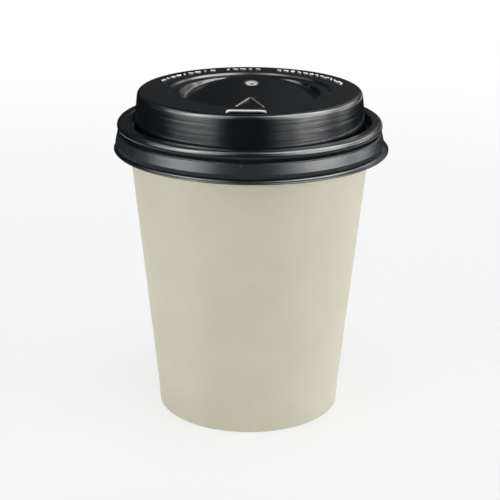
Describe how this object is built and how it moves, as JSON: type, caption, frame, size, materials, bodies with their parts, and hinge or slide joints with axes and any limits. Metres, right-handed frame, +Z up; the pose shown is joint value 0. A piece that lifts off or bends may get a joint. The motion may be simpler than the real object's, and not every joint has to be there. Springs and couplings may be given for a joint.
{
  "type": "paper coffee cup with lid",
  "caption": "Tapered single-wall paper cup with a folded foot, a glued bottom disc and a rolled rim, closed by a black push-fit lid with a drinking hole.",
  "frame": {"origin": "middle of the folded ring that the cup stands on, on the table plane", "axes": "+Z up along the cup's axis; -Y is the side with the drinking hole; +X to the right as seen from that side"},
  "size_m": [0.0858, 0.0858, 0.102],
  "materials": {
    "wall_board": "matt coated paperboard, pale greige",
    "disc_board": "matt coated paperboard, off-white",
    "lid_plastic": "satin black formed polystyrene sheet"
  },
  "bodies": {
    "cup": {"cup_wall": "wall_board", "base_disc": "disc_board"},
    "lid": {"lid": "lid_plastic"}
  },
  "joints": [
    {"name": "lid_lift", "type": "slide", "parent": "cup", "child": "lid", "axis": [0, 0, 1], "range_m": [0, 0.03]}
  ]
}
